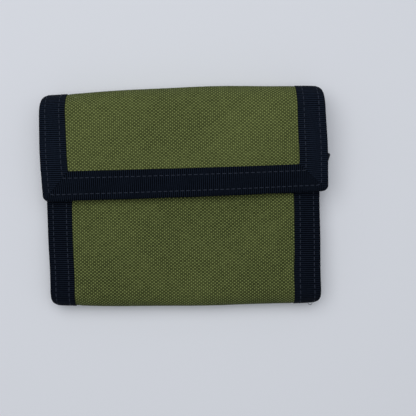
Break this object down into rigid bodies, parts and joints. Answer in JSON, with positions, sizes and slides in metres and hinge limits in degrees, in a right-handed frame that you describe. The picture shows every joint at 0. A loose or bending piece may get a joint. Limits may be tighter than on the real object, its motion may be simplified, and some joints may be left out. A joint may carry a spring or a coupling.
{
  "type": "trifold wallet",
  "caption": "Folding wallet: a taped fabric strip folds over a back panel and a hook-and-loop flap closes it; inside are a zipped coin pocket, card pockets and a window pocket.",
  "frame": {"origin": "centre of the closed wallet's footprint, on its back face", "axes": "+X along the fold lines, +Y towards the top fold that carries the flap, +Z from the back to the flap"},
  "size_m": [0.1306, 0.0962, 0.0197],
  "materials": {
    "shell_fabric": "matte ballistic nylon weave, olive green",
    "edge_tape": "ribbed grosgrain tape, blue-black",
    "lining_fabric": "thin coated nylon, black",
    "pocket_fabric": "matte nylon weave, olive green",
    "trim_ribbon": "ribbed grosgrain ribbon, blue-black",
    "zip_tape": "knitted polyester tape, black",
    "zip_coil": "nylon coil, black",
    "zip_metal": "black enamel over die-cast zinc",
    "pull_rubber": "soft moulded pull, blue-black",
    "clear_vinyl": "clear flexible sheet",
    "hook_tape": "nylon hook tape, black",
    "loop_tape": "brushed nylon loop tape, black"
  },
  "bodies": {
    "back_panel": {"shell_back": "shell_fabric", "lining_back": "lining_fabric", "tape_left_back": "edge_tape", "tape_right_back": "edge_tape", "lining_tape_back": "edge_tape", "coin_pocket_panel": "pocket_fabric", "zip_tape_upper": "zip_tape", "zip_tape_lower": "zip_tape", "zip_coil": "zip_coil", "zip_stops": "zip_metal", "card_pocket_upper": "pocket_fabric", "card_pocket_trim_upper": "trim_ribbon", "card_pocket_lower": "pocket_fabric", "card_pocket_trim_lower": "trim_ribbon"},
    "bottom_spine": {"shell_bottom_spine": "shell_fabric", "lining_bottom_spine": "lining_fabric", "tape_left_bottom_spine": "edge_tape", "tape_right_bottom_spine": "edge_tape", "lining_tape_bottom_spine": "edge_tape"},
    "front_panel": {"shell_front": "shell_fabric", "lining_front": "lining_fabric", "tape_left_front": "edge_tape", "tape_right_front": "edge_tape", "lining_tape_front": "edge_tape", "tape_end_front": "edge_tape", "loop_strip": "loop_tape", "window_frame": "pocket_fabric", "window_pane": "clear_vinyl"},
    "top_spine": {"shell_top_spine": "shell_fabric", "lining_top_spine": "lining_fabric", "tape_left_top_spine": "edge_tape", "tape_right_top_spine": "edge_tape", "lining_tape_top_spine": "edge_tape"},
    "flap": {"shell_flap": "shell_fabric", "lining_flap": "lining_fabric", "tape_left_flap": "edge_tape", "tape_right_flap": "edge_tape", "tape_end_flap": "edge_tape", "hook_strip": "hook_tape"},
    "zip_slider": {"zip_slider": "zip_metal"},
    "zip_pull": {"zip_pull_tab": "pull_rubber"}
  },
  "joints": [
    {"name": "top_fold", "type": "hinge", "parent": "back_panel", "child": "top_spine", "pos_m": [0, 0.04598, 0.00212], "axis": [-1, 0, 0], "range_deg": [0, 90]},
    {"name": "flap_fold", "type": "hinge", "parent": "top_spine", "child": "flap", "pos_m": [0, 0.04598, 0.01762], "axis": [-1, 0, 0], "range_deg": [0, 90]},
    {"name": "bottom_fold", "type": "hinge", "parent": "back_panel", "child": "bottom_spine", "pos_m": [0, -0.04671, 0.00139], "axis": [1, 0, 0], "range_deg": [0, 90]},
    {"name": "front_fold", "type": "hinge", "parent": "bottom_spine", "child": "front_panel", "pos_m": [0, -0.04671, 0.01161], "axis": [1, 0, 0], "range_deg": [0, 90]},
    {"name": "zip_slide", "type": "slide", "parent": "back_panel", "child": "zip_slider", "axis": [-1, 0, 0], "range_m": [0, 0.08]},
    {"name": "pull_lift", "type": "hinge", "parent": "zip_slider", "child": "zip_pull", "pos_m": [0.0435, 0.02335, 0.00525], "axis": [-0.342, -0.9397, 0], "range_deg": [0, 20]}
  ],
  "couplings": [
    {"joint": "flap_fold", "follows": "top_fold", "ratio": 1},
    {"joint": "bottom_fold", "follows": "top_fold", "ratio": 1},
    {"joint": "front_fold", "follows": "top_fold", "ratio": 1}
  ]
}
